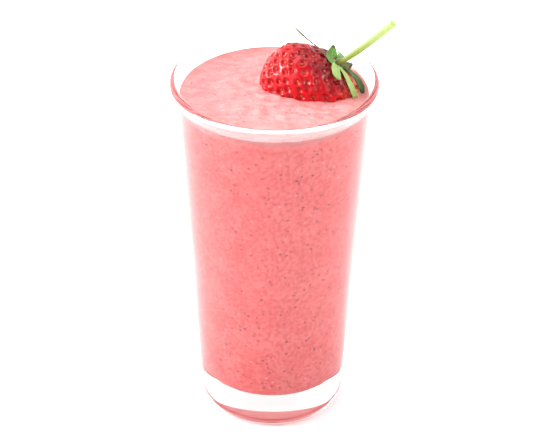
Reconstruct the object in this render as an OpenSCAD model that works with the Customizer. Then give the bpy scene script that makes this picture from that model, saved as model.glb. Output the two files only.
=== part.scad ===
// Strawberry smoothie in a tall straight tumbler, with a whole strawberry
// standing tip down in the drink at the rim. +Z is up, the glass stands on
// z = 0, and the origin is the centre of its foot.

/* [Glass] */
// Height of the glass
glass_h = 145; // [140:1:150]
// Outer diameter of the rim lip
lip_d = 80; // [78:1:86]
// Radius of the rounded bead round the rim
bead_r = 1.5; // [1.1:0.1:1.6]
// Height over which the wall flares out to the bead, outside
flare_out = 5.5; // [4:0.5:8]
// Height over which the bore flares out to the bead, inside
flare_in = 6.5; // [4:0.5:8]
// Outer diameter the wall would have at the height of the rim
wall_top_d = 75.7; // [75:0.1:76]
// Outer diameter the wall would have at the table
wall_foot_d = 56.3; // [54:0.1:60]
// Thickness of the wall
wall_t = 1.8; // [1.6:0.1:2.2]
// Thickness of the clear base
base_t = 15; // [8:0.5:20]
// Radius of the rounded heel
heel_r = 3.5; // [2:0.1:4]
// Radius of the inside bottom corner
well_r = 4; // [2:0.5:8]

/* [Smoothie] */
// Height of the surface above the table
drink_level = 138.4; // [136:0.2:140]
// Rise of the drink where it clings to the wall
cling_h = 0.9; // [0.4:0.1:1.4]
// Width of the curved strip that clings to the wall
cling_w = 2.4; // [1.5:0.1:4]
// Clearance between the drink and what it touches
drink_gap = 0.05; // [0.02:0.01:0.1]

/* [Strawberry] */
// Length from tip to calyx
berry_len = 34.5; // [32:0.5:36]
// Width across the shoulders
berry_w = 35.6; // [33:0.2:36.4]
// Thickness as a share of the width
berry_flat = 0.77; // [0.72:0.01:0.82]
// Where the shoulders are widest, as a share of the length
shoulder_at = 0.72; // [0.66:0.01:0.76]
// How far the calyx end bows to one side
berry_bow = 5.4; // [4:0.2:6]
// Depth of the hollow round the stalk
hollow_h = 1.2; // [0.4:0.1:2]
// Lean of the axis above the horizontal
berry_lean = 53; // [50:1:56]
// Turn of the axis about the vertical
berry_turn = -8; // [-12:1:-4]
// Place of the tip, sideways
tip_x = -0.6; // [-1.4:0.2:0]
// Place of the tip, front to back
tip_y = 8.8; // [8:0.2:10]
// Height of the tip
tip_z = 125; // [122:0.2:128]

/* [Calyx and stem] */
// Radius of the disc that the sepals grow from
disc_r = 2.6; // [2.2:0.1:3.4]
// Thickness of that disc
disc_t = 1.1; // [0.8:0.1:1.6]
// Thickness of the sepals
sepal_t = 0.7; // [0.5:0.1:1]
// How far the stem's cut end stands out sideways
stem_reach = 21.4; // [14:0.2:26]
// How far the stem's cut end stands up
stem_rise = 17.8; // [12:0.2:24]
// Thickness of the stem at the calyx
stem_d = 1.8; // [1.4:0.1:2.4]
// Thickness of the stem at its cut end
stem_end_d = 3; // [2.4:0.1:3.6]

/* [Hidden] */

$fn = 96;
ARC_STEPS = 8;
FLARE_STEPS = 5;
// Height of the middle of the rim's bead.
CROWN = glass_h - bead_r;

// Outer radius of the plain wall at a height.
function wall_r(z) = (wall_foot_d + (wall_top_d - wall_foot_d) * z / glass_h) / 2;

// Inner radius of the plain wall at a height.
function bore_r(z) = wall_r(z) - wall_t;

// Smooth step from 0 to 1.
function eased(t) = t * t * (3 - 2 * t);

// Radius at a share t of a flare that starts at radius r0 and ends at radius r1.
function flared(r0, r1, t) = r0 + (r1 - r0) * eased(t);

// Points of the outer flare, from the plain wall up to the bead.
function outer_flare() =
    [for (i = [0 : FLARE_STEPS])
        let (t = i / FLARE_STEPS)
        [flared(wall_r(CROWN - flare_out), lip_d / 2, t), CROWN - flare_out * (1 - t)]];

// Point of the inner flare at a share t of its height, from the plain bore up.
function inner_flare(t) = [
    flared(bore_r(CROWN - flare_in), lip_d / 2 - 2 * bead_r, t),
    CROWN - flare_in * (1 - t)
];

// Points of an arc about [cx, cz] from angle a0 to angle a1.
function arc(cx, cz, r, a0, a1) =
    [for (i = [0 : ARC_STEPS])
        let (a = a0 + (a1 - a0) * i / ARC_STEPS)
        [cx + r * cos(a), cz + r * sin(a)]];

// Inside of the tumbler from the axis out and up to a height, shrunk by a gap.
function bore_profile(top, gap) = concat(
    [[0, base_t + gap]],
    arc(bore_r(base_t + well_r) - well_r, base_t + well_r, well_r - gap, -90, 0),
    [for (i = [0 : FLARE_STEPS])
        let (q = inner_flare(i / FLARE_STEPS))
        if (q[1] < top)
            [q[0] - gap, q[1]]],
    [[inner_flare((top - CROWN) / flare_in + 1)[0] - gap, top]]
);

// ---- Strawberry -------------------------------------------------------

BERRY_SIDES = 40;
FLANK_RINGS = 13;
SHOULDER_RINGS = 10;
// Bluntness of the flank towards the tip: less is blunter.
TIP_POWER = 0.58;
// Squareness of the shoulder, on average and how much it varies round it.
SHOULDER_POWER = 2;
SHOULDER_SWING = 0.5;
// Radius of the hollow round the stalk.
HOLLOW_R = 7;

// Squareness of the shoulder on the side at angle a.
function shoulder_power(a) = SHOULDER_POWER + SHOULDER_SWING * cos(a);

// [radius, height] of the flank, u from 0 at the tip to 1 at the widest place.
function flank_rz(u) = [
    berry_w / 2 * sin(90 * pow(u, TIP_POWER)),
    berry_len * shoulder_at * u
];

// [radius, height] of the shoulder, p from 0 at the widest place to 90 at the stalk.
function shoulder_rz(p, a) =
    let (e = 2 / shoulder_power(a))
    let (r = berry_w / 2 * pow(max(cos(p), 0), e))
    let (dip = hollow_h * pow(max(1 - r / HOLLOW_R, 0), 2))
    [r, berry_len * (shoulder_at + (1 - shoulder_at) * pow(sin(p), e)) - dip];

// Middle of the berry's cross-section at a height along its axis.
function berry_middle(z) = [berry_bow * pow(z / berry_len, 2), 0, z];

// A point of the berry from its radius, height and angle, with the bow and the flattening.
function berry_point(rz, a, grow) =
    berry_middle(rz[1]) + (rz[0] + grow) * [cos(a), sin(a) * berry_flat, 0];

// Rings of the berry from the tip to the stalk.
function berry_rings(grow) = concat(
    [for (i = [1 : FLANK_RINGS])
        [for (j = [0 : BERRY_SIDES - 1])
            let (a = 360 * j / BERRY_SIDES)
            berry_point(flank_rz(pow(i / FLANK_RINGS, 1.4)), a, grow)]],
    [for (i = [1 : SHOULDER_RINGS - 1])
        [for (j = [0 : BERRY_SIDES - 1])
            let (a = 360 * j / BERRY_SIDES)
            berry_point(shoulder_rz(90 * i / SHOULDER_RINGS, a), a, grow)]]
);

// Closed skin through equal rings, with one point at each end.
module skin(rings, first, last) {
    n = len(rings[0]);
    m = len(rings);
    points = concat([first], [for (ring = rings) each ring], [last]);
    end = n * m + 1;
    faces = concat(
        [for (j = [0 : n - 1]) [0, 1 + j, 1 + (j + 1) % n]],
        [for (i = [0 : m - 2], j = [0 : n - 1])
            let (a = 1 + i * n, b = a + n, k = (j + 1) % n)
            each [[a + j, b + j, b + k], [a + j, b + k, a + k]]],
        [for (j = [0 : n - 1]) [end, end - n + (j + 1) % n, end - n + j]]
    );
    polyhedron(points, faces, convexity = 6);
}

// Puts something made along the berry's own axis in its place in the glass.
module at_berry() {
    translate([tip_x, tip_y, tip_z])
        rotate([0, 90 - berry_lean, berry_turn])
            children();
}

// The berry itself, made fatter by grow where another piece is cut round it.
module berry_solid(grow = 0) {
    at_berry()
        skin(
            berry_rings(grow),
            [0, 0, -grow],
            berry_middle(berry_len - hollow_h + grow)
        );
}

// ---- Calyx and stem ---------------------------------------------------

// Height of the hollow's floor along the berry's axis.
CALYX_Z = berry_len - hollow_h;
SEPAL_STEPS = 8;
// How far from the stalk a sepal's root lies.
SEPAL_ROOT_R = 1.8;
// Clear space between a sepal and the berry's skin.
SEPAL_CLEAR = 0.5;
// Each sepal: turn about the stalk at its root and at its tip, how far down
// the shoulder it reaches, its width, and how far its tip lifts off.
SEPALS = [
    [-62, -32, 24, 3.2, 0.3],
    [-104, -74, 50, 4.6, 0.6],
    [-8, -20, 42, 5.0, 0.8],
    [16, 2, 72, 4.0, 2.6],
    [84, 84, 44, 4.4, 0.8],
    [-146, -158, 56, 5.4, 6.0],
    [178, 148, 16, 1.8, 6.5]
];

// Turn about the stalk at a share t of a sepal's length.
function sepal_turn(s, t) = s[0] + (s[1] - s[0]) * t;

// Place down the shoulder, from 90 at the stalk to 0 at the widest place.
function sepal_drop(s, t) =
    let (root = acos(pow(2 * SEPAL_ROOT_R / berry_w, shoulder_power(s[0]) / 2)))
    root + (s[2] - root) * t;

// Direction out of the berry's skin under a sepal.
function sepal_out(s, t) =
    let (a = sepal_turn(s, t), p = sepal_drop(s, t))
    [cos(a) * cos(p), sin(a) * cos(p), sin(p)];

// Middle of a sepal at a share t of its length, lying on the shoulder.
function sepal_spine(s, t) =
    let (a = sepal_turn(s, t), clear = SEPAL_CLEAR * min(1, 3 * t))
    berry_point(shoulder_rz(sepal_drop(s, t), a), a, 0)
        + (sepal_t / 2 + clear + s[4] * t * t) * sepal_out(s, t);

// Half width of a sepal at a share t of its length.
function sepal_half_w(s, t) = s[3] / 2 * (0.45 + 1.1 * t) * pow(1 - t, 0.55) + 0.25;

// Cross-section of a sepal: a thin lens, raised at its edges.
function sepal_ring(s, t) =
    let (a = sepal_turn(s, t), out = sepal_out(s, t), side = [-sin(a), cos(a), 0])
    let (w = sepal_half_w(s, t), h = sepal_t / 2)
    [for (q = [[-w, h * 0.8], [-w * 0.5, -h], [0, -h * 1.2], [w * 0.5, -h],
               [w, h * 0.8], [w * 0.5, h], [0, h * 0.8], [-w * 0.5, h]])
        sepal_spine(s, t) + q[0] * side + q[1] * out];

// One sepal, from its root beside the stalk to its tip.
module sepal(s) {
    skin(
        [for (k = [0 : SEPAL_STEPS]) sepal_ring(s, k / SEPAL_STEPS)],
        sepal_spine(s, 0),
        sepal_spine(s, 1)
    );
}

// The disc under the stalk, made larger by grow where the stem is cut off on it.
module calyx_disc(grow = 0) {
    at_berry()
        translate(berry_middle(CALYX_Z))
            cylinder(h = disc_t + grow, r1 = disc_r + grow, r2 = disc_r * 0.7 + grow);
}

STEM_STEPS = 10;
STEM_SIDES = 14;
// Heading of the stem where it leaves the calyx, above the horizontal.
STEM_START = 22;
// Where it bends upwards, as a share of its reach.
STEM_KNEE_AT = 0.27;
// Foot of the stem: just inside the top of the calyx disc, in the glass's frame.
FOOT_Z = CALYX_Z + disc_t * 0.7;
FOOT_BOW = berry_middle(CALYX_Z)[0];
FOOT_OUT = FOOT_BOW * sin(berry_lean) + FOOT_Z * cos(berry_lean);
STEM_FOOT = [
    tip_x + FOOT_OUT * cos(berry_turn),
    tip_y + FOOT_OUT * sin(berry_turn),
    tip_z - FOOT_BOW * cos(berry_lean) + FOOT_Z * sin(berry_lean)
];
STEM_KNEE = STEM_FOOT + [cos(STEM_START), 0, sin(STEM_START)] * stem_reach * STEM_KNEE_AT;
STEM_TOP = STEM_FOOT + [stem_reach, 0, stem_rise];

// Point and heading of the stem's centre line at a share t of its length.
function stem_point(t) =
    (1 - t) * (1 - t) * STEM_FOOT + 2 * t * (1 - t) * STEM_KNEE + t * t * STEM_TOP;
function stem_heading(t) =
    let (v = (1 - t) * (STEM_KNEE - STEM_FOOT) + t * (STEM_TOP - STEM_KNEE))
    v / norm(v);

function stem_ring(k) =
    let (t = k / STEM_STEPS, c = stem_point(t), d = stem_heading(t))
    let (r = (stem_d + (stem_end_d - stem_d) * t) / 2)
    [for (j = [0 : STEM_SIDES - 1])
        let (a = -360 * j / STEM_SIDES)
        c + r * [-d[2] * cos(a), sin(a), d[0] * cos(a)]];

// ---- Sub-parts --------------------------------------------------------

// Tall tumbler: thick clear base, thin straight wall, flared rim with a bead.
module glass() {
    foot_r = wall_r(heel_r) - heel_r;
    color([0.93, 0.95, 0.96, 0.4])
        rotate_extrude($fn = 128)
            polygon(concat(
                [[0, 0]],
                arc(foot_r, heel_r, heel_r, -90, 0),
                outer_flare(),
                arc(lip_d / 2 - bead_r, CROWN, bead_r, 15, 165),
                [for (i = [0 : FLARE_STEPS]) inner_flare(1 - i / FLARE_STEPS)],
                arc(bore_r(base_t + well_r) - well_r, base_t + well_r, well_r, 0, -90),
                [[0, base_t]]
            ));
}

// Thick pink drink: fills the tumbler to its level and clings a little higher
// at the wall, cut round the berry.
module smoothie() {
    rim = drink_level + cling_h;
    edge_r = inner_flare((rim - CROWN) / flare_in + 1)[0] - drink_gap;
    color([0.96, 0.56, 0.55])
        difference() {
            rotate_extrude()
                polygon(concat(
                    bore_profile(rim, drink_gap),
                    [for (i = [1 : ARC_STEPS])
                        let (t = i / ARC_STEPS)
                        [
                            edge_r - cling_w * t,
                            drink_level + cling_h * (1 - t) * (1 - t)
                        ]],
                    [[0, drink_level]]
                ));
            berry_solid(drink_gap);
        }
}

// Whole strawberry, tip down, broader than thick and bowed towards the stalk.
module strawberry() {
    color([0.83, 0.09, 0.11])
        berry_solid();
}

// Ring of sepals on the small disc at the stalk.
module calyx() {
    color([0.50, 0.68, 0.30])
        difference() {
            union() {
                calyx_disc();
                at_berry()
                    for (s = SEPALS)
                        sepal(s);
            }
            berry_solid(drink_gap);
        }
}

// Stem that rises from the calyx and thickens to its cut end.
module stem() {
    color([0.78, 0.86, 0.48])
        difference() {
            skin(
                [for (k = [0 : STEM_STEPS]) stem_ring(k)],
                STEM_FOOT,
                STEM_TOP
            );
            calyx_disc(drink_gap);
        }
}

glass();
smoothie();
strawberry();
calyx();
stem();
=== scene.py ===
"""Strawberry smoothie in a tall clear tumbler, with a whole strawberry at the rim.

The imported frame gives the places. Every piece here replaces its plain solid:
a spun tumbler of real glass thickness, the thick drink with its uneven top,
specks and froth, the pitted berry with its seeds, its sepals and its stem.
All lengths are in metres.
"""

import logging
import math
import random
from dataclasses import dataclass, field
from enum import Enum
from typing import Any, Optional, Sequence, Union

import bmesh
import bpy
from mathutils import Matrix, Vector, noise
from mathutils.kdtree import KDTree


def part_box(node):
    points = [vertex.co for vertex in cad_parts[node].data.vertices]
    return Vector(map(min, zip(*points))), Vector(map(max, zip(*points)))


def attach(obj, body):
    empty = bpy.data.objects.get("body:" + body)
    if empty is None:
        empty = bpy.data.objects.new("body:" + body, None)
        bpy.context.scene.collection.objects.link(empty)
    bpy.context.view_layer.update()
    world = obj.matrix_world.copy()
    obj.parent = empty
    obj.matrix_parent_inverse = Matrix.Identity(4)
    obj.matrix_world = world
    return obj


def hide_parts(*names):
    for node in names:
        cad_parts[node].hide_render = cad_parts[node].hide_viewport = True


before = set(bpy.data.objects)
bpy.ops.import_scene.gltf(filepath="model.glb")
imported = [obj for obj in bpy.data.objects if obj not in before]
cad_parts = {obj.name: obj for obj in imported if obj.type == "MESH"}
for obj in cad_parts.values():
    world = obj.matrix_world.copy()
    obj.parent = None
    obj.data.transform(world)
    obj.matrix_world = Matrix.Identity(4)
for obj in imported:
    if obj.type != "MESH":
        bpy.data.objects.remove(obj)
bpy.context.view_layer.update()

MM = 0.001
BODY = "root"
BATCH = 24
Colour = tuple[float, float, float]

log = logging.getLogger("smoothie")


# ---- Shader maths -----------------------------------------------------------


class Num:
    """A number that varies over a surface, with ordinary arithmetic."""

    def __init__(self, shading: "Tree", socket: bpy.types.NodeSocket) -> None:
        """Wraps one output socket of a material's tree."""
        self.shading = shading
        self.socket = socket

    def _math(self, operation: str, first: Any, second: Any = 0.0) -> "Num":
        """Adds one Math node.

        Args:
            operation: The node's operation.
            first: Its first value or link.
            second: Its second value or link.

        Returns:
            The node's result.
        """
        made = self.shading.node("ShaderNodeMath", {"operation": operation}, {0: first, 1: second})
        return Num(self.shading, made.outputs[0])

    def __add__(self, other: Any) -> "Num":
        """This plus other."""
        return self._math("ADD", self, other)

    def __radd__(self, other: Any) -> "Num":
        """Other plus this."""
        return self._math("ADD", other, self)

    def __sub__(self, other: Any) -> "Num":
        """This minus other."""
        return self._math("SUBTRACT", self, other)

    def __rsub__(self, other: Any) -> "Num":
        """Other minus this."""
        return self._math("SUBTRACT", other, self)

    def __mul__(self, other: Any) -> "Num":
        """This times other."""
        return self._math("MULTIPLY", self, other)

    def __rmul__(self, other: Any) -> "Num":
        """Other times this."""
        return self._math("MULTIPLY", other, self)

    def __abs__(self) -> "Num":
        """This without its sign."""
        return self._math("ABSOLUTE", self)

    def eased(self, low: float, high: float, start: float = 0.0, end: float = 1.0) -> "Num":
        """Eases from start to end while this goes from low to high.

        Args:
            low: Value of this at the start.
            high: Value of this at the end.
            start: Result at and below low.
            end: Result at and above high.

        Returns:
            The eased value.
        """
        made = self.shading.node(
            "ShaderNodeMapRange",
            {"interpolation_type": "SMOOTHSTEP"},
            {0: self, 1: low, 2: high, 3: start, 4: end},
        )
        return Num(self.shading, made.outputs[0])


class Tree:
    """A node tree, and one method that adds any node to it."""

    def __init__(self, tree: bpy.types.NodeTree) -> None:
        """Starts with the tree emptied."""
        self.tree = tree
        self.tree.nodes.clear()

    def node(
        self,
        kind: str,
        settings: Optional[dict[str, Any]] = None,
        sockets: Optional[dict[Union[int, str], Any]] = None,
    ) -> bpy.types.Node:
        """Adds one node.

        Args:
            kind: The node's type.
            settings: Its own settings; "stops" holds a ramp's places and colours.
            sockets: Values or links for its inputs, by name or number.

        Returns:
            The new node.
        """
        made = self.tree.nodes.new(kind)
        for key, value in (settings or {}).items():
            if key == "stops":
                elements = made.color_ramp.elements
                while len(elements) < len(value):
                    elements.new(0.5)
                for element, (place, colour) in zip(elements, value):
                    element.position = place
                    element.color = (*colour, 1.0)
            else:
                setattr(made, key, value)
        for key, value in (sockets or {}).items():
            self.plug(made.inputs[key], value)
        return made

    def plug(self, socket: bpy.types.NodeSocket, value: Any) -> None:
        """Links a value to a socket, or sets it there.

        Args:
            socket: The input.
            value: A Num, an output socket, a number or a colour.
        """
        if isinstance(value, Num):
            value = value.socket
        if isinstance(value, bpy.types.NodeSocket):
            self.tree.links.new(value, socket)
        elif isinstance(value, tuple) and len(value) == 3 and socket.type == "RGBA":
            socket.default_value = (*value, 1.0)
        else:
            socket.default_value = value


class Shading(Tree):
    """One material's node tree, with one Principled shader."""

    def __init__(self, name: str) -> None:
        """Starts an empty material of that name."""
        self.material = bpy.data.materials.new(name)
        self.material.use_nodes = True
        super().__init__(self.material.node_tree)
        self.shader = self.node("ShaderNodeBsdfPrincipled")
        self.node("ShaderNodeOutputMaterial", sockets={0: self.shader.outputs[0]})

    def place(
        self, scale: Sequence[float] = (1, 1, 1), turn: Sequence[float] = (0, 0, 0)
    ) -> bpy.types.NodeSocket:
        """Object coordinates, turned and scaled.

        Args:
            scale: Scale along each axis.
            turn: Turn about each axis, in radians.

        Returns:
            The coordinates' socket.
        """
        here = self.node("ShaderNodeTexCoord").outputs["Object"]
        mapped = self.node("ShaderNodeMapping", {}, {0: here, 2: tuple(turn), 3: tuple(scale)})
        return mapped.outputs[0]

    def noise(self, size: float, detail: float = 2.0, at: Any = None, warp: float = 0.0) -> Num:
        """Soft noise.

        Args:
            size: Length of one blotch.
            detail: How many finer layers it has.
            at: Coordinates, or None for the object's own.
            warp: How much it is pulled about.

        Returns:
            The noise, from 0 to 1.
        """
        made = self.node(
            "ShaderNodeTexNoise",
            {},
            {"Vector": at or self.place(), "Scale": 1 / size, "Detail": detail, "Distortion": warp},
        )
        return Num(self, made.outputs[0])

    def cells(self, size: float, at: Any = None, feature: str = "F1") -> Num:
        """Distance to the nearest of many scattered points.

        Args:
            size: Usual distance between points.
            at: Coordinates, or None for the object's own.
            feature: The Voronoi feature.

        Returns:
            The distance, in units of size.
        """
        made = self.node(
            "ShaderNodeTexVoronoi",
            {"feature": feature},
            {"Vector": at or self.place(), "Scale": 1 / size},
        )
        return Num(self, made.outputs["Distance"])

    def attribute(self, name: str) -> Num:
        """The value of a mesh attribute of that name."""
        made = self.node("ShaderNodeAttribute", {"attribute_name": name})
        return Num(self, made.outputs["Fac"])

    def blend(self, factor: Any, first: Any, second: Any, mode: str = "MIX") -> bpy.types.NodeSocket:
        """Mixes two colours.

        Args:
            factor: Share of the second.
            first: First colour.
            second: Second colour.
            mode: How they mix.

        Returns:
            The mixed colour's socket.
        """
        made = self.node(
            "ShaderNodeMix",
            {"data_type": "RGBA", "blend_type": mode},
            {0: factor, 6: first, 7: second},
        )
        return made.outputs[2]

    def bump(self, height: Any, depth: float, strength: float = 1.0) -> bpy.types.NodeSocket:
        """Bumps from a height.

        Args:
            height: Height from 0 to 1.
            depth: Length that a height of 1 stands for.
            strength: Share of the bump that shows.

        Returns:
            The normal's socket.
        """
        made = self.node(
            "ShaderNodeBump", {}, {"Strength": strength, "Distance": depth, "Height": height}
        )
        return made.outputs[0]

    def finish(self, **sockets: Any) -> bpy.types.Material:
        """Sets the shader's inputs.

        Args:
            sockets: Values by socket name, with _ for each space.

        Returns:
            The finished material.
        """
        for name, value in sockets.items():
            self.plug(self.shader.inputs[name.replace("_", " ")], value)
        return self.material


# ---- Mesh helpers -----------------------------------------------------------


def arc(x: float, z: float, radius: float, start: float, end: float, steps: int) -> list[Vector]:
    """Points of an arc in the upright plane through the axis.

    Args:
        x: Distance of the arc's centre from the axis.
        z: Height of the arc's centre.
        radius: Radius of the arc.
        start: First angle, in degrees.
        end: Last angle, in degrees.
        steps: Number of steps between them.

    Returns:
        The points in order.
    """
    turns = [math.radians(start + (end - start) * i / steps) for i in range(steps + 1)]
    return [Vector((x + radius * math.cos(t), 0, z + radius * math.sin(t))) for t in turns]


def ease(t: float) -> float:
    """Smooth step from 0 to 1."""
    return t * t * (3 - 2 * t)


def spun(profile: Sequence[Vector], steps: int) -> bmesh.types.BMesh:
    """Spins an outline that starts and ends on the axis into a closed skin.

    Args:
        profile: The outline's points.
        steps: Number of steps in the full turn.

    Returns:
        The closed mesh, facing outwards.
    """
    bm = bmesh.new()
    verts = [bm.verts.new(p) for p in profile]
    edges = [bm.edges.new(pair) for pair in zip(verts, verts[1:])]
    bmesh.ops.spin(
        bm,
        geom=verts + edges,
        axis=(0, 0, 1),
        cent=(0, 0, 0),
        angle=2 * math.pi,
        steps=steps,
        use_merge=True,
    )
    bmesh.ops.remove_doubles(bm, verts=bm.verts[:], dist=0.001 * MM)
    bmesh.ops.recalc_face_normals(bm, faces=bm.faces[:])
    return bm


def piece(
    name: str, bm: bmesh.types.BMesh, material: bpy.types.Material
) -> bpy.types.Object:
    """Turns a finished mesh into a piece that rides on the body.

    Args:
        name: The piece's name.
        bm: Its mesh, which is freed.
        material: Its material.

    Returns:
        The new object.
    """
    mesh = bpy.data.meshes.new(name)
    bm.to_mesh(mesh)
    bm.free()
    mesh.shade_smooth()
    mesh.materials.append(material)
    made = bpy.data.objects.new(name, mesh)
    bpy.context.scene.collection.objects.link(made)
    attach(made, BODY)
    log.info("%s: %d faces", name, len(mesh.polygons))
    return made


def subdivided(made: bpy.types.Object, levels: int) -> None:
    """Adds a Subdivision Surface with the same levels in every view."""
    modifier = made.modifiers.new("smooth", "SUBSURF")
    modifier.levels = modifier.render_levels = levels


def beads(
    places: Sequence[tuple[Vector, Vector, Vector, Sequence[float]]], rings: int = 6
) -> bmesh.types.BMesh:
    """Many small ellipsoids in one mesh.

    Args:
        places: For each, its middle, its outward direction, its long direction,
            and its half sizes along, across and outwards.
        rings: Rings in each one.

    Returns:
        The joined mesh.
    """
    whole = bmesh.new()
    for start in range(0, len(places), BATCH):
        some = bmesh.new()
        for middle, out, along, sizes in places[start : start + BATCH]:
            across = out.cross(along).normalized()
            length = across.cross(out).normalized()
            turn = Matrix((length, across, out.normalized())).transposed()
            matrix = Matrix.Translation(middle) @ turn.to_4x4() @ Matrix.Diagonal((*sizes, 1))
            bmesh.ops.create_uvsphere(
                some, u_segments=rings + 2, v_segments=rings, radius=1, matrix=matrix
            )
        mesh = bpy.data.meshes.new("batch")
        some.to_mesh(mesh)
        some.free()
        whole.from_mesh(mesh)
        bpy.data.meshes.remove(mesh)
    return whole


def wave(point: Vector, size: float, seed: float) -> float:
    """Smooth noise from -1 to 1 whose swells are about size across."""
    return noise.noise(point / size + Vector((seed, -seed, 2 * seed)))


# ---- Finishes ---------------------------------------------------------------


@dataclass(frozen=True)
class ClearGlass:
    """Smooth soda-lime glass with the faint waviness of a pressed tumbler."""

    tint: Colour = (0.985, 0.99, 0.99)
    refraction: float = 1.5
    ripple: float = 0.012 * MM
    ripple_size: float = 9 * MM

    def material(self) -> bpy.types.Material:
        """The glass: clear, hardly tinted, faintly rippled."""
        made = Shading("clear_glass")
        ripple = made.noise(self.ripple_size, 1.0)
        smear = made.noise(14 * MM, 4.0)
        return made.finish(
            Base_Color=self.tint,
            Roughness=smear.eased(0.45, 0.8, 0.0, 0.035),
            IOR=self.refraction,
            Transmission_Weight=1.0,
            Normal=made.bump(ripple, self.ripple, 0.6),
        )


@dataclass(frozen=True)
class ThickDrink:
    """Blended strawberry and milk: opaque pink, mottled and finely flecked."""

    pink: Colour = (0.91, 0.14, 0.138)
    pale: Colour = (0.94, 0.20, 0.195)
    deep: Colour = (0.76, 0.055, 0.06)
    fleck: Colour = (0.42, 0.03, 0.05)
    # Paler colour of the whole top: partly froth, partly painted light from above.
    froth: Colour = (0.86, 0.43, 0.42)

    def material(self) -> bpy.types.Material:
        """The drink, paler where its "froth" attribute says so: over its whole top, partly froth and
        partly painted light from above.
        """
        made = Shading("smoothie_pink")
        blotch = made.noise(11 * MM, 3.0, warp=0.6)
        grain = made.noise(1.5 * MM, 3.0)
        colour = made.blend(blotch.eased(0.35, 0.7), self.pink, self.pale)
        colour = made.blend(grain.eased(0.36, 0.48, 0.6, 0.0), colour, self.pale)
        colour = made.blend(grain.eased(0.46, 0.62, 0.0, 0.6), colour, self.deep)
        dots = made.cells(2.6 * MM).eased(0.12, 0.24, 0.8, 0.0)
        rare = made.noise(4.5 * MM, 0.0).eased(0.46, 0.56)
        colour = made.blend(dots * rare, colour, self.fleck)
        streak = made.noise(3 * MM, 2.0, made.place((0.5, 1, 1), (0, 0, 0))).eased(0.4, 0.65, 0.7, 1.0)
        # The top is painted paler: partly froth, partly painted light from above.
        colour = made.blend(made.attribute("froth") * streak * 0.8, colour, self.froth)
        return made.finish(
            Base_Color=colour,
            Roughness=grain.eased(0.3, 0.8, 0.18, 0.42),
            IOR=1.36,
            Subsurface_Weight=0.12,
            Subsurface_Radius=(1.0, 0.35, 0.3),
            Subsurface_Scale=1.5 * MM,
            Normal=made.bump(grain + made.noise(0.45 * MM, 2.0) * 0.5, 0.05 * MM, 0.7),
        )


@dataclass(frozen=True)
class BerrySkin:
    """Wet, glossy strawberry skin, darker towards the stalk, with painted shade on its pit walls, painted
    light on its pit floors, and an orange shoulder that is partly not yet ripe and partly painted light
    shining through.
    """

    red: Colour = (0.52, 0.001, 0.007)
    bright: Colour = (0.66, 0.005, 0.010)
    deep: Colour = (0.11, 0.001, 0.006)
    # Orange shoulder colour: partly skin not yet ripe, partly painted light shining through it.
    unripe: Colour = (0.95, 0.17, 0.05)
    # Painted light: the brighter red of the lit pit floors.
    glow: Colour = (0.62, 0.012, 0.010)

    def material(self) -> bpy.types.Material:
        """The skin, coloured by its "pit" and "along" attributes."""
        made = Shading("strawberry_skin")
        pit = made.attribute("pit")
        along = made.attribute("along")
        blotch = made.noise(6 * MM, 3.0)
        colour = made.blend(blotch.eased(0.35, 0.7), self.red, self.bright)
        dark = along.eased(0.66, 0.84) * made.noise(9 * MM, 1.0).eased(0.35, 0.6, 0.5, 1.0)
        colour = made.blend(dark * 0.8, colour, self.deep)
        # Orange shoulder near the stalk on one side: partly skin not yet ripe, partly painted light
        # shining through the thin skin.
        colour = made.blend(made.attribute("unripe"), colour, self.unripe)
        # Painted shade: the walls of each pit are darkened towards deep red, as if in shadow.
        wall = pit.eased(0.08, 0.3) * pit.eased(0.4, 0.6, 1.0, 0.0)
        colour = made.blend(wall * 0.15, colour, self.deep)
        # Painted light: the floors of the pits round the seeds are a brighter red, as if lit.
        colour = made.blend(pit.eased(0.45, 0.65, 0.0, 0.35), colour, self.glow)
        fine = made.noise(0.5 * MM, 3.0)
        return made.finish(
            Base_Color=colour,
            Roughness=fine.eased(0.3, 0.75, 0.09, 0.18),
            IOR=1.37,
            Subsurface_Weight=0.08,
            Subsurface_Radius=(1.0, 0.1, 0.06),
            Subsurface_Scale=1.5 * MM,
            Coat_Weight=0.2,
            Coat_Roughness=0.02,
            Normal=made.bump(fine * 0.3 + made.noise(1.3 * MM, 2.0), 0.06 * MM, 0.7),
        )


@dataclass(frozen=True)
class SeedHusk:
    """Small hard seeds: straw to red-brown."""

    straw: Colour = (0.72, 0.17, 0.04)
    brown: Colour = (0.28, 0.02, 0.012)

    def material(self) -> bpy.types.Material:
        """The husk, varied from seed to seed."""
        made = Shading("seed_husk")
        which = made.noise(3.5 * MM, 0.0)
        streak = made.noise(0.25 * MM, 2.0)
        colour = made.blend(which.eased(0.35, 0.65), self.straw, self.brown)
        colour = made.blend(streak.eased(0.5, 0.8, 0.0, 0.5), colour, self.brown)
        return made.finish(
            Base_Color=colour,
            Roughness=streak.eased(0.3, 0.7, 0.25, 0.45),
            Normal=made.bump(streak, 0.04 * MM, 0.6),
        )


@dataclass(frozen=True)
class Speck:
    """Bits of seed and skin in the drink."""

    name: str
    light: Colour
    dark: Colour

    def material(self) -> bpy.types.Material:
        """The speck's material, varied from one to the next."""
        made = Shading(self.name)
        which = made.noise(5 * MM, 1.0)
        return made.finish(
            Base_Color=made.blend(which.eased(0.38, 0.62), self.light, self.dark),
            Roughness=which.eased(0.3, 0.7, 0.35, 0.55),
            Normal=made.bump(made.noise(0.3 * MM, 2.0), 0.03 * MM, 0.5),
        )


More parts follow.
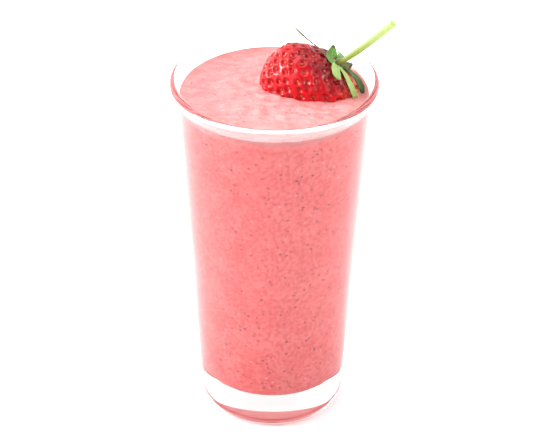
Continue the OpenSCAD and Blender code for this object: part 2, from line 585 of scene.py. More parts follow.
class LeafTone(Enum):
    """How fresh a sepal is: its face, its vein, and its tip."""

    PALE = ((0.30, 0.47, 0.11), (0.48, 0.62, 0.24), (0.30, 0.34, 0.08))
    FRESH = ((0.11, 0.27, 0.04), (0.23, 0.42, 0.10), (0.03, 0.06, 0.015))
    DARK = ((0.05, 0.125, 0.025), (0.13, 0.23, 0.06), (0.025, 0.045, 0.015))
    DRIED = ((0.11, 0.085, 0.03), (0.26, 0.28, 0.09), (0.04, 0.012, 0.008))


@dataclass(frozen=True)
class Leaf:
    """A thin leaf with a pale vein, fine side veins and a darker tip."""

    tone: LeafTone

    def material(self) -> bpy.types.Material:
        """The leaf, coloured by its "along" and "across" attributes."""
        face, vein, tip = self.tone.value
        made = Shading("leaf_" + self.tone.name.lower())
        along = made.attribute("along")
        across = abs(made.attribute("across"))
        blotch = made.noise(2.2 * MM, 3.0)
        ribs = made.node(
            "ShaderNodeMath",
            {"operation": "SINE"},
            {0: (along - across * 0.22) * 62.0},
        )
        rib = Num(made, ribs.outputs[0]).eased(0.4, 1.0)
        colour = made.blend(blotch.eased(0.3, 0.75, 0.0, 0.5), face, vein)
        colour = made.blend(across.eased(0.03, 0.16, 0.75, 0.0), colour, vein)
        colour = made.blend(rib * 0.25, colour, vein)
        colour = made.blend(along.eased(0.82, 1.0, 0.0, 0.8), colour, tip)
        relief = rib * 0.4 + across.eased(0.0, 0.15, 1.0, 0.0) + blotch * 0.5
        return made.finish(
            Base_Color=colour,
            Roughness=blotch.eased(0.3, 0.7, 0.42, 0.6),
            Subsurface_Weight=0.1,
            Subsurface_Radius=(0.6, 1.0, 0.3),
            Subsurface_Scale=0.4 * MM,
            Normal=made.bump(relief, 0.12 * MM, 0.8),
        )


@dataclass(frozen=True)
class Stalk:
    """Ridged stalk: olive at the calyx, pale yellow-green at the cut end."""

    olive: Colour = (0.27, 0.22, 0.05)
    green: Colour = (0.33, 0.44, 0.08)
    pale: Colour = (0.47, 0.63, 0.20)

    def material(self) -> bpy.types.Material:
        """The stalk, coloured by its "along" attribute."""
        made = Shading("stalk_green")
        along = made.attribute("along")
        fibre = made.noise(0.5 * MM, 3.0, made.place((1, 1, 0.35), (0, math.radians(48), 0)))
        colour = made.blend(along.eased(0.04, 0.36), self.olive, self.green)
        colour = made.blend(along.eased(0.4, 1.0), colour, self.pale)
        colour = made.blend(fibre.eased(0.55, 0.8, 0.0, 0.35), colour, self.olive)
        return made.finish(
            Base_Color=colour,
            Roughness=fibre.eased(0.3, 0.7, 0.38, 0.55),
            Subsurface_Weight=0.15,
            Subsurface_Radius=(0.8, 1.0, 0.4),
            Subsurface_Scale=0.6 * MM,
            Normal=made.bump(fibre, 0.08 * MM, 0.8),
        )


# ---- Tumbler ----------------------------------------------------------------


@dataclass
class Tumbler:
    """Tall clear tumbler: straight flared wall, rounded lip, thick base."""

    height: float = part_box("glass")[1].z
    lip_radius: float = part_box("glass")[1].x
    hollow_flat: float = 18.5 * MM
    hollow_edge: float = 20 * MM
    hollow_rise: float = 0.3 * MM
    bead: float = 1.5 * MM
    flare: float = 5.5 * MM
    flare_inside: float = 6.5 * MM
    wall_top_radius: float = 37.85 * MM
    wall_foot_radius: float = 28.15 * MM
    wall: float = 1.8 * MM
    base: float = 15 * MM
    heel: float = 3.5 * MM
    well: float = 4 * MM
    turns: int = 256

    def outer(self, z: float) -> float:
        """Outer radius of the wall at a height."""
        return self.wall_foot_radius + (self.wall_top_radius - self.wall_foot_radius) * z / self.height

    def bore(self, z: float) -> float:
        """Inner radius of the plain wall at a height."""
        return self.outer(z) - self.wall

    def inside(self, z: float) -> float:
        """Inner radius at a height up to the bead, with the flare below it."""
        low = self.height - self.bead - self.flare_inside
        mouth = self.lip_radius - 2 * self.bead
        share = min(1, max(0, (z - low) / self.flare_inside))
        return self.bore(min(z, low)) + (mouth - self.bore(low)) * ease(share)

    def outline(self) -> list[Vector]:
        """Outline of the glass from the middle of its foot round to its floor."""
        foot = self.outer(self.heel) - self.heel
        width = self.hollow_edge - self.hollow_flat
        points = [Vector((0, 0, self.hollow_rise))]
        points += [
            Vector((self.hollow_flat + width * t, 0, self.hollow_rise * (1 - ease(t))))
            for t in (i / 12 for i in range(13))
        ]
        points += arc(foot, self.heel, self.heel, -90, 0, 12)
        points += [Vector((self.outer(z * MM), 0, z * MM)) for z in (8, 20, 60, 100, 130)]
        crown = self.height - self.bead
        low = crown - self.flare
        growth = self.lip_radius - self.outer(low)
        points += [
            Vector((self.outer(low) + growth * ease(t), 0, low + self.flare * t))
            for t in (i / 12 for i in range(12))
        ]
        points += arc(self.lip_radius - self.bead, crown, self.bead, 0, 180, 24)
        levels = (crown - self.flare_inside * i / 12 for i in range(1, 13))
        points += [Vector((self.inside(z), 0, z)) for z in levels]
        points += [Vector((self.bore(z * MM), 0, z * MM)) for z in (130, 100, 60, 30)]
        well = self.base + self.well
        points += arc(self.bore(well) - self.well, well, self.well, 0, -90, 14)
        points += [Vector((8 * MM, 0, self.base)), Vector((0, 0, self.base))]
        return points

    def build(self) -> bpy.types.Object:
        """Makes the glass in place of its plain solid."""
        made = piece("tumbler", spun(self.outline(), self.turns), ClearGlass().material())
        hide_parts("glass")
        return made


# ---- Strawberry -------------------------------------------------------------


@dataclass
class BerryForm:
    """The strawberry's shape: a flattened, bowed heart about a leaning axis."""

    length: float = 34.5 * MM
    width: float = 35.6 * MM
    flat: float = 0.77
    widest: float = 0.72
    bow: float = 5.4 * MM
    hollow: float = 1.2 * MM
    hollow_radius: float = 7 * MM
    tip_power: float = 0.58
    square: float = 2.0
    square_swing: float = 0.5
    lean: float = math.radians(53)
    turn: float = math.radians(-8)
    tip: Vector = field(default_factory=lambda: Vector((-0.6, 8.8, 125)) * MM)

    def stand(self) -> Matrix:
        """The turn that lays the berry's own axis in the glass."""
        return Matrix.Rotation(self.turn, 3, "Z") @ Matrix.Rotation(math.pi / 2 - self.lean, 3, "Y")

    def middle(self, z: float) -> Vector:
        """Middle of the cross-section at a height along the berry's own axis."""
        return Vector((self.bow * (z / self.length) ** 2, 0, z))

    def _point(self, radius: float, z: float, a: float) -> Vector:
        """A skin point from its radius, height and angle."""
        return self.middle(z) + radius * Vector((math.cos(a), math.sin(a) * self.flat, 0))

    def flank(self, u: float, a: float) -> Vector:
        """A point of the flank, u from 0 at the tip to 1 at the widest place."""
        radius = self.width / 2 * math.sin(math.pi / 2 * u**self.tip_power)
        return self._point(radius, self.length * self.widest * u, a)

    def shoulder(self, p: float, a: float) -> Vector:
        """A point of the shoulder, p from 0 at the widest place to a quarter turn at the stalk."""
        power = 2 / (self.square + self.square_swing * math.cos(a))
        radius = self.width / 2 * max(math.cos(p), 0) ** power
        dip = self.hollow * max(1 - radius / self.hollow_radius, 0) ** 2
        rise = self.widest + (1 - self.widest) * math.sin(p) ** power
        return self._point(radius, self.length * rise - dip, a)

    def outward(self, p: float, a: float) -> Vector:
        """Direction out of the shoulder's skin."""
        return Vector((math.cos(a) * math.cos(p), math.sin(a) * math.cos(p), math.sin(p)))

    def placed(self, point: Vector) -> Vector:
        """A point of the berry's own frame, in the glass's frame."""
        return self.tip + self.stand() @ point


@dataclass
class Strawberry:
    """Whole strawberry: pitted skin with a seed in each pit."""

    form: BerryForm = field(default_factory=BerryForm)
    around: int = 288
    rings: int = 196
    flank_share: float = 0.58
    seed_count: int = 250
    bare_crown: float = 0.93
    pit_radius: float = 1.95 * MM
    pit_depth: float = 0.95 * MM
    # Heading, start and fade of the orange shoulder, which is partly skin not yet ripe and partly painted
    # light shining through.
    unripe_turn: float = math.radians(15)
    unripe_start: float = 0.6
    unripe_fade: float = 0.16
    tip_crowding: float = 1.35
    stray_share: float = 0.004
    stray_turn: float = 0.06
    seed_tilt: float = 0.25
    swells: tuple[tuple[float, float, float], ...] = ((13 * MM, 4.0, 0.5 * MM), (6 * MM, 9.0, 0.16 * MM))
    seed_size: tuple[float, float, float] = (0.55 * MM, 0.38 * MM, 0.24 * MM)

    def skin_point(self, share: float, a: float) -> Vector:
        """A point of the smooth skin, share from 0 at the tip to 1 at the stalk."""
        if share < self.flank_share:
            return self.form.flank((share / self.flank_share) ** self.tip_crowding, a)
        p = (share - self.flank_share) / (1 - self.flank_share) * math.pi / 2
        return self.form.shoulder(p, a)

    def smooth_skin(self) -> bmesh.types.BMesh:
        """The skin before its pits: a ball drawn out to the berry's form."""
        bm = bmesh.new()
        bmesh.ops.create_uvsphere(bm, u_segments=self.around, v_segments=self.rings, radius=1)
        along = bm.verts.layers.float.new("along")
        unripe = bm.verts.layers.float.new("unripe")
        for v in bm.verts:
            share = math.acos(max(-1.0, min(1.0, -v.co.z))) / math.pi
            v[along] = share
            a = math.atan2(v.co.y, v.co.x)
            # Mask of the orange shoulder: partly skin not yet ripe, partly painted light shining through,
            # strongest on one side near the stalk.
            facing = max(0.0, math.cos(a - self.unripe_turn)) ** 2
            near = min(1, max(0, (share - self.unripe_start) / self.unripe_fade))
            v[unripe] = ease(near) * facing
            point = self.skin_point(share, a)
            lump = sum(wave(point, size, seed) * height for size, seed, height in self.swells)
            v.co = self.form.placed(point + (point - self.form.middle(point.z)).normalized() * lump)
        bm.normal_update()
        return bm

    def seed_places(self) -> list[tuple[float, float]]:
        """Where the seeds sit, as share and angle: a spiral evened out by area."""
        shares = [i / 400 for i in range(401)]
        radii = [self.ring_length(s) for s in shares]
        steps = [
            (self.skin_point(b, 0) - self.skin_point(a, 0)).length
            + (self.skin_point(b, math.pi) - self.skin_point(a, math.pi)).length
            for a, b in zip(shares, shares[1:])
        ]
        areas = [0.0]
        for radius, step in zip(radii, steps):
            areas.append(areas[-1] + radius * step)
        golden = math.pi * (3 - math.sqrt(5))
        chance = random.Random(11)
        places = []
        cursor = 0
        for i in range(self.seed_count):
            wanted = areas[-1] * (i + 0.5) / self.seed_count
            while areas[cursor + 1] < wanted:
                cursor += 1
            if shares[cursor] < self.bare_crown:
                share = shares[cursor] + chance.uniform(-self.stray_share, self.stray_share)
                places.append((share, i * golden + chance.uniform(-self.stray_turn, self.stray_turn)))
        return places

    def ring_length(self, share: float) -> float:
        """Rough distance round the skin at a share of its length."""
        across = (self.skin_point(share, 0) - self.skin_point(share, math.pi)).length
        return across * (1 + self.form.flat) / 2

    def pitted(self) -> tuple[bmesh.types.BMesh, list[tuple[Vector, Vector]]]:
        """Presses a pit into the skin for each seed.

        Returns:
            The pitted skin, and the floor and direction of each pit.
        """
        bm = self.smooth_skin()
        pit = bm.verts.layers.float.new("pit")
        tree = KDTree(len(bm.verts))
        for i, v in enumerate(bm.verts):
            tree.insert(v.co, i)
        tree.balance()
        bm.verts.ensure_lookup_table()
        normals = [v.normal.copy() for v in bm.verts]
        press = [0.0] * len(bm.verts)
        floors = []
        chance = random.Random(5)
        for share, a in self.seed_places():
            centre = self.form.placed(self.skin_point(share, a))
            near, index, _ = tree.find(centre)
            size = self.pit_radius * chance.uniform(0.88, 1.12)
            depth = self.pit_depth * chance.uniform(0.8, 1.15)
            for _, i, distance in tree.find_range(near, size):
                r = distance / size
                press[i] = max(press[i], depth * ease(min(1, (1 - r) / 0.8)))
                bm.verts[i][pit] = max(bm.verts[i][pit], 1 - r)
            floors.append((near - normals[index] * depth * 0.92, normals[index]))
        for v, normal, depth in zip(bm.verts, normals, press):
            v.co -= normal * depth
        bm.normal_update()
        return bm, floors

    def build(self) -> list[bpy.types.Object]:
        """Makes the skin and its seeds in place of the plain solid."""
        bm, floors = self.pitted()
        skin = piece("strawberry_skin", bm, BerrySkin().material())
        axis = self.form.stand() @ Vector((0, 0, 1))
        chance = random.Random(8)
        places = []
        for floor, out in floors:
            sizes = [s * chance.uniform(0.85, 1.12) for s in self.seed_size]
            tilt = Vector([chance.uniform(-self.seed_tilt, self.seed_tilt) for _ in range(3)])
            places.append((floor, out, axis + tilt, sizes))
        seeds = piece("strawberry_seeds", beads(places), SeedHusk().material())
        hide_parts("strawberry")
        return [skin, seeds]


# ---- Smoothie ---------------------------------------------------------------


@dataclass
class Ridge:
    """A soft fold left in the surface by pouring: its middle, heading, length, width and height."""

    x: float
    y: float
    heading: float
    length: float
    width: float
    height: float

    def rise(self, x: float, y: float) -> float:
        """Height that the fold adds at a place."""
        dx, dy = x - self.x, y - self.y
        c, s = math.cos(self.heading), math.sin(self.heading)
        u, v = dx * c + dy * s, dy * c - dx * s
        v += 0.06 * u * u / self.length
        return self.height * math.exp(-((u / self.length) ** 2) - (v / self.width) ** 2)


@dataclass(frozen=True)
class Swell:
    """One scale of unevenness of the surface: size, seed and height, and how it is drawn out."""

    size: float
    seed: float
    height: float
    squeeze: float = 1.0

    def rise(self, x: float, y: float) -> float:
        """Height that it adds at a place."""
        return wave(Vector((x * self.squeeze, y, 0)), self.size, self.seed) * self.height


@dataclass
class Smoothie:
    """The thick drink, up to its level, with its uneven top, specks and froth."""

    tumbler: Tumbler
    berry: Strawberry
    level: float = 138.4 * MM
    into_wall: float = 0.1 * MM
    cling: float = 0.9 * MM
    cling_width: float = 2.4 * MM
    calm_width: float = 9 * MM
    calm_share: float = 0.12
    berry_cling: float = 0.55 * MM
    berry_cling_width: float = 0.9 * MM
    turns: int = 288
    top_rings: int = 84
    swells: tuple[Swell, ...] = (
        Swell(11 * MM, 3.0, 0.4 * MM),
        Swell(5 * MM, 7.0, 0.6 * MM),
        Swell(2.4 * MM, 12.0, 0.5 * MM, 0.6),
        Swell(1.1 * MM, 5.0, 0.09 * MM),
    )
    ridges: tuple[Ridge, ...] = (
        Ridge(-18 * MM, 10 * MM, 0.1, 3 * MM, 0.9 * MM, 0.7 * MM),
        Ridge(-12 * MM, 1 * MM, -0.15, 5 * MM, 1.5 * MM, 0.75 * MM),
        Ridge(-4 * MM, -4 * MM, 0.25, 6 * MM, 1.8 * MM, 0.6 * MM),
        Ridge(-16 * MM, -13 * MM, 0.3, 6 * MM, 1.6 * MM, 0.45 * MM),
        Ridge(16 * MM, -14 * MM, 0.2, 8 * MM, 1.6 * MM, 0.5 * MM),
        Ridge(4 * MM, -17 * MM, -0.2, 7 * MM, 1.5 * MM, 0.4 * MM),
        Ridge(10 * MM, -10 * MM, -0.1, 5 * MM, 1.3 * MM, 0.45 * MM),
    )

    def wall_radius(self, z: float) -> float:
        """Radius of the drink's side, just inside the glass."""
        return self.tumbler.inside(z) + self.into_wall

    def top(self, x: float, y: float) -> float:
        """Height of the surface at a place, without what clings to the berry."""
        uneven = sum(part.rise(x, y) for part in self.swells + self.ridges)
        from_wall = self.wall_radius(self.level) - math.hypot(x, y)
        inward = ease(min(1, max(0, from_wall / self.calm_width)))
        z = self.level + uneven * (self.calm_share + (1 - self.calm_share) * inward)
        edge = from_wall / self.cling_width
        if edge < 1:
            z += self.cling * (1 - max(edge, 0)) ** 2
        return z

    def shoreline(self, skin: bpy.types.Object) -> KDTree:
        """Where the berry's skin meets the surface, for distances in plan."""
        points = [v.co for v in skin.data.vertices if abs(v.co.z - self.level) < 0.4 * MM]
        tree = KDTree(len(points))
        for i, p in enumerate(points):
            tree.insert((p.x, p.y, 0), i)
        tree.balance()
        return tree

    def body(self, skin: bpy.types.Object) -> bpy.types.Object:
        """Makes the drink itself."""
        t = self.tumbler
        well = t.well
        bottom = t.base - self.into_wall
        points = [Vector((0, 0, bottom)), Vector((10 * MM, 0, bottom))]
        centre = t.bore(t.base + well) - well
        points += arc(centre, t.base + well, well + self.into_wall, -90, 0, 14)
        for i in range(1, 40):
            z = t.base + well + (self.level - t.base - well) * i / 40
            points.append(Vector((self.wall_radius(z), 0, z)))
        edge = self.wall_radius(self.level + self.cling)
        points.append(Vector((edge, 0, self.level + self.cling)))
        for i in range(1, self.top_rings):
            points.append(Vector((edge * (1 - i / self.top_rings), 0, self.level + 0.001 * MM)))
        points.append(Vector((0, 0, self.level + 0.001 * MM)))
        bm = spun(points, self.turns)
        froth = bm.verts.layers.float.new("froth")
        shore = self.shoreline(skin)
        for v in bm.verts:
            if v.co.z >= self.level:
                # The whole top is marked as froth, which paints it paler: partly froth, partly painted
                # light from above.
                v[froth] = 1.0
                _, _, away = shore.find((v.co.x, v.co.y, 0))
                climb = self.berry_cling * math.exp(-away / self.berry_cling_width)
                v.co.z = self.top(v.co.x, v.co.y) + climb
        made = piece("smoothie_body", bm, ThickDrink().material())
        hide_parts("smoothie")
        return made

    def side_places(self, count: int, size: tuple[float, float], seed: int) -> list:
        """Places just proud of the drink's side for bits of fruit.

        Args:
            count: How many.
            size: Smallest and largest half length.
            seed: Seed of the scatter.

        Returns:
            Their middles, directions and sizes.
        """
        chance = random.Random(seed)
        places = []
        for _ in range(count):
            a = chance.uniform(0, 2 * math.pi)
            z = chance.uniform(self.tumbler.base + 4 * MM, self.level - 3 * MM)
            half = chance.uniform(*size)
            thick = half * 0.3
            out = Vector((math.cos(a), math.sin(a), 0))
            middle = out * (self.wall_radius(z) - thick * 0.2) + Vector((0, 0, z))
            along = Vector((-math.sin(a), math.cos(a), 0)) + Vector((0, 0, chance.uniform(-1, 1)))
            places.append((middle, out, along, (half, half * chance.uniform(0.5, 0.8), thick)))
        return places

    def top_places(self, count: int, size: tuple[float, float], sunk: float, seed: int) -> list:
        """Places on the drink's top, clear of the berry and the wall.

        Args:
            count: How many.
            size: Smallest and largest radius.
            sunk: Share of the radius that lies under the surface.
            seed: Seed of the scatter.

        Returns:
            Their middles, directions and sizes.
        """
        chance = random.Random(seed)
        places = []
        while len(places) < count:
            r = (self.wall_radius(self.level) - 1.5 * MM) * math.sqrt(chance.random())
            a = chance.uniform(0, 2 * math.pi)
            x, y = r * math.cos(a), r * math.sin(a)
            half = chance.uniform(*size)
            middle = Vector((x, y, self.top(x, y) - half * sunk))
            along = Vector((chance.uniform(-1, 1), chance.uniform(-1, 1), 0.01))
            sizes = (half, half * chance.uniform(0.75, 1), half * 0.8)
            places.append((middle, Vector((0, 0, 1)), along, sizes))
        return places

    def bits(self) -> list[bpy.types.Object]:
        """Makes the specks of seed, the flecks of skin and the froth."""
        seeds = self.side_places(150, (0.3 * MM, 0.62 * MM), 21)
        seeds += self.top_places(40, (0.25 * MM, 0.5 * MM), 0.55, 22)
        flecks = self.side_places(300, (0.3 * MM, 0.8 * MM), 23)
        flecks += self.top_places(60, (0.35 * MM, 0.8 * MM), 0.7, 24)
        froth = self.side_places(220, (0.2 * MM, 0.45 * MM), 26)
        froth += self.top_places(130, (0.25 * MM, 0.7 * MM), 0.5, 25)
        dark = Speck("seed_speck", (0.30, 0.06, 0.07), (0.16, 0.04, 0.07))
        red = Speck("skin_fleck", (0.72, 0.06, 0.07), (0.50, 0.04, 0.07))
        foam = Speck("froth_film", (0.95, 0.50, 0.47), (0.92, 0.38, 0.36))
        return [
            piece("seed_specks", beads(seeds, 5), dark.material()),
            piece("skin_flecks", beads(flecks, 5), red.material()),
            piece("froth_bubbles", beads(froth, 7), foam.material()),
        ]


# ---- Calyx and stem ---------------------------------------------------------


@dataclass
class Sepal:
    """One sepal lying on the berry's shoulder.

    turn_root and turn_tip are its headings about the stalk, in degrees, reach
    is how far down the shoulder it comes, rise is how its tip stands off the
    skin, curl is how far its edges rise, twist how far it rolls over, in
    radians, blunt how square its tip is, and spread which way its width lies at
    the tip if it turns away from the skin.
    """

    name: str
    tone: LeafTone
    turn_root: float
    turn_tip: float
    reach: float
    width: float
    rise: tuple[float, float, float] = (0, 0, 0)
    curl: float = 0.5 * MM
    twist: float = 0.0
    blunt: float = 0.55
    spread: Optional[Vector] = None
    root_radius: float = 1.6 * MM

    def half_width(self, t: float) -> float:
        """Half width at a share of the length."""
        return self.width / 2 * (0.45 + 1.1 * t) * max(1 - t, 0) ** self.blunt + 0.12 * MM

    def blade(self, form: BerryForm) -> bmesh.types.BMesh:
        """The thin blade, bent from a flat grid.

        Args:
            form: The berry that it grows on.

        Returns:
            The blade without thickness.
        """
        bm = bmesh.new()
        bmesh.ops.create_grid(bm, x_segments=22, y_segments=8, size=1)
        along = bm.verts.layers.float.new("along")
        across = bm.verts.layers.float.new("across")
        turn_root, turn_tip, reach = (
            math.radians(x) for x in (self.turn_root, self.turn_tip, self.reach)
        )
        power = (form.square + form.square_swing * math.cos(turn_root)) / 2
        root = math.acos((2 * self.root_radius / form.width) ** power)
        for v in bm.verts:
            t, s = (v.co.x + 1) / 2, v.co.y
            v[along], v[across] = t, s
            a = turn_root + (turn_tip - turn_root) * t
            p = root + (reach - root) * t
            out = form.outward(p, a)
            side = Vector((-math.sin(a), math.cos(a), 0))
            roll = self.twist * t
            side, out = (
                side * math.cos(roll) + out * math.sin(roll),
                out * math.cos(roll) - side * math.sin(roll),
            )
            clear = 0.45 * MM * min(1, 3 * t)
            spine = form.shoulder(p, a) + form.outward(p, a) * (0.35 * MM + clear)
            w = self.half_width(t)
            ripple = 0.12 * MM * wave(Vector((t * 9, s * 2, self.turn_root)), 1.0, 1.0) * 2
            across_way = form.stand() @ side
            if self.spread:
                across_way = across_way.lerp(self.spread.normalized(), ease(min(1, 1.6 * t))).normalized()
            v.co = form.placed(spine + out * (self.curl * s * s * t + ripple))
            v.co += across_way * (w * s) + Vector(self.rise) * t * t
        bm.normal_update()
        return bm

    def build(self, form: BerryForm, material: bpy.types.Material) -> bpy.types.Object:
        """Makes the sepal.

        Args:
            form: The berry that it grows on.
            material: Its leaf finish.

        Returns:
            The sepal.
        """
        made = piece(self.name, self.blade(form), material)
        thick = made.modifiers.new("thickness", "SOLIDIFY")
        thick.thickness = 0.32 * MM
        thick.offset = 0.0
        subdivided(made, 1)
        return made


@dataclass
class Calyx:
    """The ring of sepals round the stalk, on its small disc."""

    form: BerryForm
    disc_radius: float = 2.5 * MM

    def sepals(self) -> list[Sepal]:
        """The sepals, clockwise from the one that hangs to the drink."""
        pale, fresh, dark, dried = LeafTone.PALE, LeafTone.FRESH, LeafTone.DARK, LeafTone.DRIED
        up = Vector((0, 0, MM))
        return [
            Sepal("sepal_long", pale, -62, -32, 25, 3.2 * MM, up * 0.4, 0.3 * MM, 0.2, 0.22),
            Sepal("sepal_short", pale, -104, -76, 50, 4.8 * MM, up * 0.7, 0.4 * MM, 0.0, 0.3),
            Sepal(
                "sepal_right", dark, -4, -14, 34, 3.4 * MM, up * 0.2, 0.5 * MM, 0.0, 0.5,
                Vector((1, 0.3, -0.1)),
            ),
            Sepal("sepal_stub", dried, 20, -6, 78, 5.4 * MM, up * 0.8, 1.2 * MM, 0.3, 0.25),
            Sepal("sepal_back", fresh, 84, 84, 44, 4.6 * MM, up * 0.8),
            Sepal(
                "sepal_upright", fresh, -146, -158, 60, 8.0 * MM, Vector((5.1, 3, 2.8)) * MM,
                0.6 * MM, 0.0, 0.85, Vector((-1, 0, 0.3)),
            ),
            Sepal("sepal_curled", dried, 178, 150, 20, 2.2 * MM, up * 5.5, 0.5 * MM, 1.2, 0.5),
        ]

    def disc(self) -> bpy.types.Object:
        """The small domed disc that the sepals grow from."""
        r = self.disc_radius
        profile = [Vector((0, 0, -0.3 * MM)), Vector((r * 0.9, 0, -0.3 * MM))]
        profile += arc(r - 0.4 * MM, 0.1 * MM, 0.4 * MM, -60, 60, 5)
        profile += [Vector((r * 0.6, 0, 0.75 * MM)), Vector((0, 0, 1.0 * MM))]
        bm = spun(profile, 40)
        along = bm.verts.layers.float.new("along")
        centre = self.form.middle(self.form.length - self.form.hollow)
        for v in bm.verts:
            v[along] = 0.3
            v.co = v.co * (1 + 0.12 * wave(v.co, 1.2 * MM, 2.0))
            v.co = self.form.placed(centre + v.co)
        return piece("calyx_disc", bm, Leaf(LeafTone.FRESH).material())

    def build(self) -> list[bpy.types.Object]:
        """Makes the calyx in place of its plain solid."""
        leaves = {tone: Leaf(tone).material() for tone in LeafTone}
        made = [s.build(self.form, leaves[s.tone]) for s in self.sepals()]
        made.append(self.disc())
        for part in made:
            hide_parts("calyx")
        return made


@dataclass
class Stem:
    """The stalk: a tapering, slightly bent rod that widens to its cut end."""

    form: BerryForm
    reach: float = 21.4 * MM
    rise: float = 17.8 * MM
    knee_at: float = 0.27
    start: float = math.radians(22)
    radius: float = 0.9 * MM
    end_radius: float = 1.5 * MM
    rings: int = 44
    sides: int = 24

    def foot(self) -> Vector:
        """Where it leaves the calyx disc."""
        z = self.form.length - self.form.hollow
        return self.form.placed(self.form.middle(z) + Vector((0, 0, 0.6 * MM)))

    def line(self, t: float) -> tuple[Vector, Vector]:
        """Point and heading of its centre line at a share of its length."""
        foot = self.foot()
        knee = foot + Vector((math.cos(self.start), 0, math.sin(self.start))) * self.reach * self.knee_at
        top = foot + Vector((self.reach, 0, self.rise))
        point = (1 - t) ** 2 * foot + 2 * t * (1 - t) * knee + t * t * top
        return point, ((1 - t) * (knee - foot) + t * (top - knee)).normalized()

    def build(self) -> bpy.types.Object:
        """Makes the stem in place of its plain solid."""
        bm = bmesh.new()
        bmesh.ops.create_cone(
            bm,
            cap_ends=True,
            segments=self.sides,
            radius1=1,
            radius2=1,
            depth=2,
        )
        upright = [e for e in bm.edges if abs(e.verts[0].co.z - e.verts[1].co.z) > 1]
        bmesh.ops.subdivide_edges(bm, edges=upright, cuts=self.rings)
        caps = [f for f in bm.faces if abs(f.normal.z) > 0.9]
        bmesh.ops.inset_region(bm, faces=caps, thickness=0.12)
        along = bm.verts.layers.float.new("along")
        for v in bm.verts:
            t = (v.co.z + 1) / 2
            v[along] = t
            point, heading = self.line(t)
            across = Vector((0, 1, 0))
            up = heading.cross(across)
            a = math.atan2(v.co.y, v.co.x)
            r = math.hypot(v.co.x, v.co.y)
            size = self.radius + (self.end_radius - self.radius) * t**0.8
            size *= 1 + 0.05 * math.cos(3 * a) + 0.06 * wave(Vector((t * 6, 0, 0)), 1.0, 5.0)
            v.co = point + size * r * (across * math.cos(a) + up * math.sin(a))
        bmesh.ops.recalc_face_normals(bm, faces=bm.faces[:])
        made = piece("stem", bm, Stalk().material())
        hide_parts("stem")
        return made


# ---- Studio -----------------------------------------------------------------


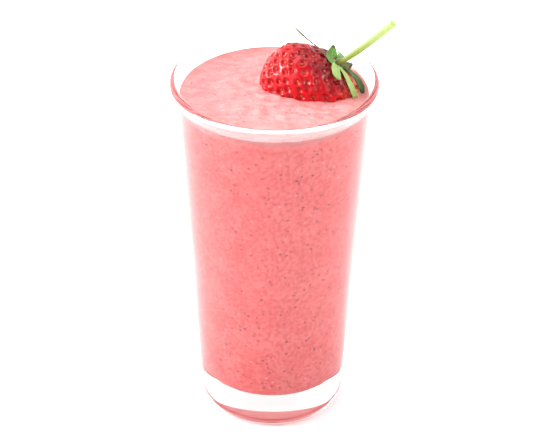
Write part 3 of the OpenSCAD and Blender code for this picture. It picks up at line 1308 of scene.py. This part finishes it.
@dataclass
class Studio:
    """Plain pale floor that glows, with a painted contact shadow round the glass, soft white light all
    round, and the camera.
    """

    elevation: float = math.radians(32.75)
    distance: float = 0.965
    aim: Vector = field(default_factory=lambda: Vector((0.7, 0, 81.2)) * MM)
    roll: float = 0.0095
    lens: float = 160.0
    floor_half: float = 2.5
    # Painted contact shadow: the floor's glow is dimmest inside shade_near and back to full beyond
    # shade_far.
    shade_near: float = 25 * MM
    shade_far: float = 110 * MM
    front: float = 0.15
    left: float = 1.6
    right: float = 1.2
    behind: float = 0.8
    above: float = 0.25

    def camera(self) -> None:
        """Sets up the camera in front of the glass, looking down on it."""
        data = bpy.data.cameras.new("camera")
        data.lens = self.lens
        data.sensor_width = 36.0
        data.clip_start, data.clip_end = 0.05, 20.0
        made = bpy.data.objects.new("camera", data)
        bpy.context.scene.collection.objects.link(made)
        back = Vector((0, -math.cos(self.elevation), math.sin(self.elevation)))
        turn = Matrix.Rotation(math.pi / 2 - self.elevation, 4, "X") @ Matrix.Rotation(self.roll, 4, "Z")
        made.matrix_world = Matrix.Translation(self.aim + back * self.distance) @ turn
        bpy.context.scene.camera = made

    def lamp(self, name: str, place: Vector, size: float, power: float) -> None:
        """Adds a square soft lamp that faces the glass.

        Args:
            name: The lamp's name.
            place: Where it hangs.
            size: Length of its side.
            power: Its power in watts.
        """
        data = bpy.data.lights.new(name, "AREA")
        data.shape = "SQUARE"
        data.size = size
        data.energy = power
        made = bpy.data.objects.new(name, data)
        bpy.context.scene.collection.objects.link(made)
        made.location = place
        made.rotation_mode = "QUATERNION"
        made.rotation_quaternion = (Vector((0, 0, 0.07)) - place).to_track_quat("-Z", "Y")

    def surroundings(self) -> None:
        """White light all round: brightest at the left and behind, dim in front."""
        world = bpy.data.worlds.new("studio")
        bpy.context.scene.world = world
        world.use_nodes = True
        sky = Tree(world.node_tree)
        heading = sky.node("ShaderNodeTexCoord").outputs["Generated"]
        parts = sky.node("ShaderNodeSeparateXYZ", {}, {0: heading})
        x, y, z = (Num(sky, parts.outputs[i]) for i in range(3))
        light = (
            self.front
            + (0 - x).eased(0.2, 0.8) * self.left
            + x.eased(0.2, 0.8) * self.right
            + y.eased(0.0, 0.7) * self.behind
            + z.eased(0.5, 0.95) * self.above
        )
        glow = sky.node("ShaderNodeBackground", {}, {0: (1.0, 1.0, 1.0), 1: light})
        sky.node("ShaderNodeOutputWorld", {}, {0: glow.outputs[0]})

    def floor(self) -> None:
        """The pale floor, which glows; its glow dims near the glass as a painted contact shadow."""
        bm = bmesh.new()
        bmesh.ops.create_grid(bm, x_segments=4, y_segments=4, size=self.floor_half)
        bmesh.ops.translate(bm, verts=bm.verts[:], vec=(0, 0, -0.1 * MM))
        mesh = bpy.data.meshes.new("floor")
        bm.to_mesh(mesh)
        bm.free()
        made = Shading("floor_white")
        tone = made.noise(0.2, 2.0)
        length = made.node("ShaderNodeVectorMath", {"operation": "LENGTH"}, {0: made.place()})
        # Painted contact shadow: the floor's glow dims to a quarter near the glass.
        shade = Num(made, length.outputs["Value"]).eased(self.shade_near, self.shade_far)
        mesh.materials.append(
            made.finish(
                Base_Color=made.blend(tone * 0.3, (0.95, 0.95, 0.95), (0.92, 0.92, 0.92)),
                Roughness=0.8,
                Emission_Color=made.blend(shade, (0.25, 0.25, 0.25), (1.0, 1.0, 1.0)),
                Emission_Strength=0.85,
            )
        )
        floor = bpy.data.objects.new("floor", mesh)
        bpy.context.scene.collection.objects.link(floor)

    def build(self) -> None:
        """Sets up everything round the glass."""
        bpy.context.scene.view_settings.view_transform = "Standard"
        bpy.context.scene.view_settings.look = "None"
        light_paths = bpy.context.scene.cycles
        light_paths.max_bounces = light_paths.transmission_bounces = 32
        light_paths.glossy_bounces = 16
        self.camera()
        self.surroundings()
        self.lamp("key_left", Vector((-1.1, -0.12, 0.55)), 0.36, 13.0)
        self.lamp("kick_right", Vector((0.62, -0.24, 0.72)), 0.13, 2.2)
        self.lamp("overhead", Vector((-0.1, 0.35, 1.2)), 0.6, 2.6)
        self.floor()


def main() -> None:
    """Builds the drink piece by piece, then the studio round it."""
    logging.basicConfig(level=logging.INFO, format="%(name)s %(message)s")
    tumbler = Tumbler()
    tumbler.build()
    berry = Strawberry()
    skin, _ = berry.build()
    smoothie = Smoothie(tumbler, berry)
    smoothie.body(skin)
    smoothie.bits()
    Calyx(berry.form).build()
    Stem(berry.form).build()
    Studio().build()


if __name__ == "__main__":
    main()
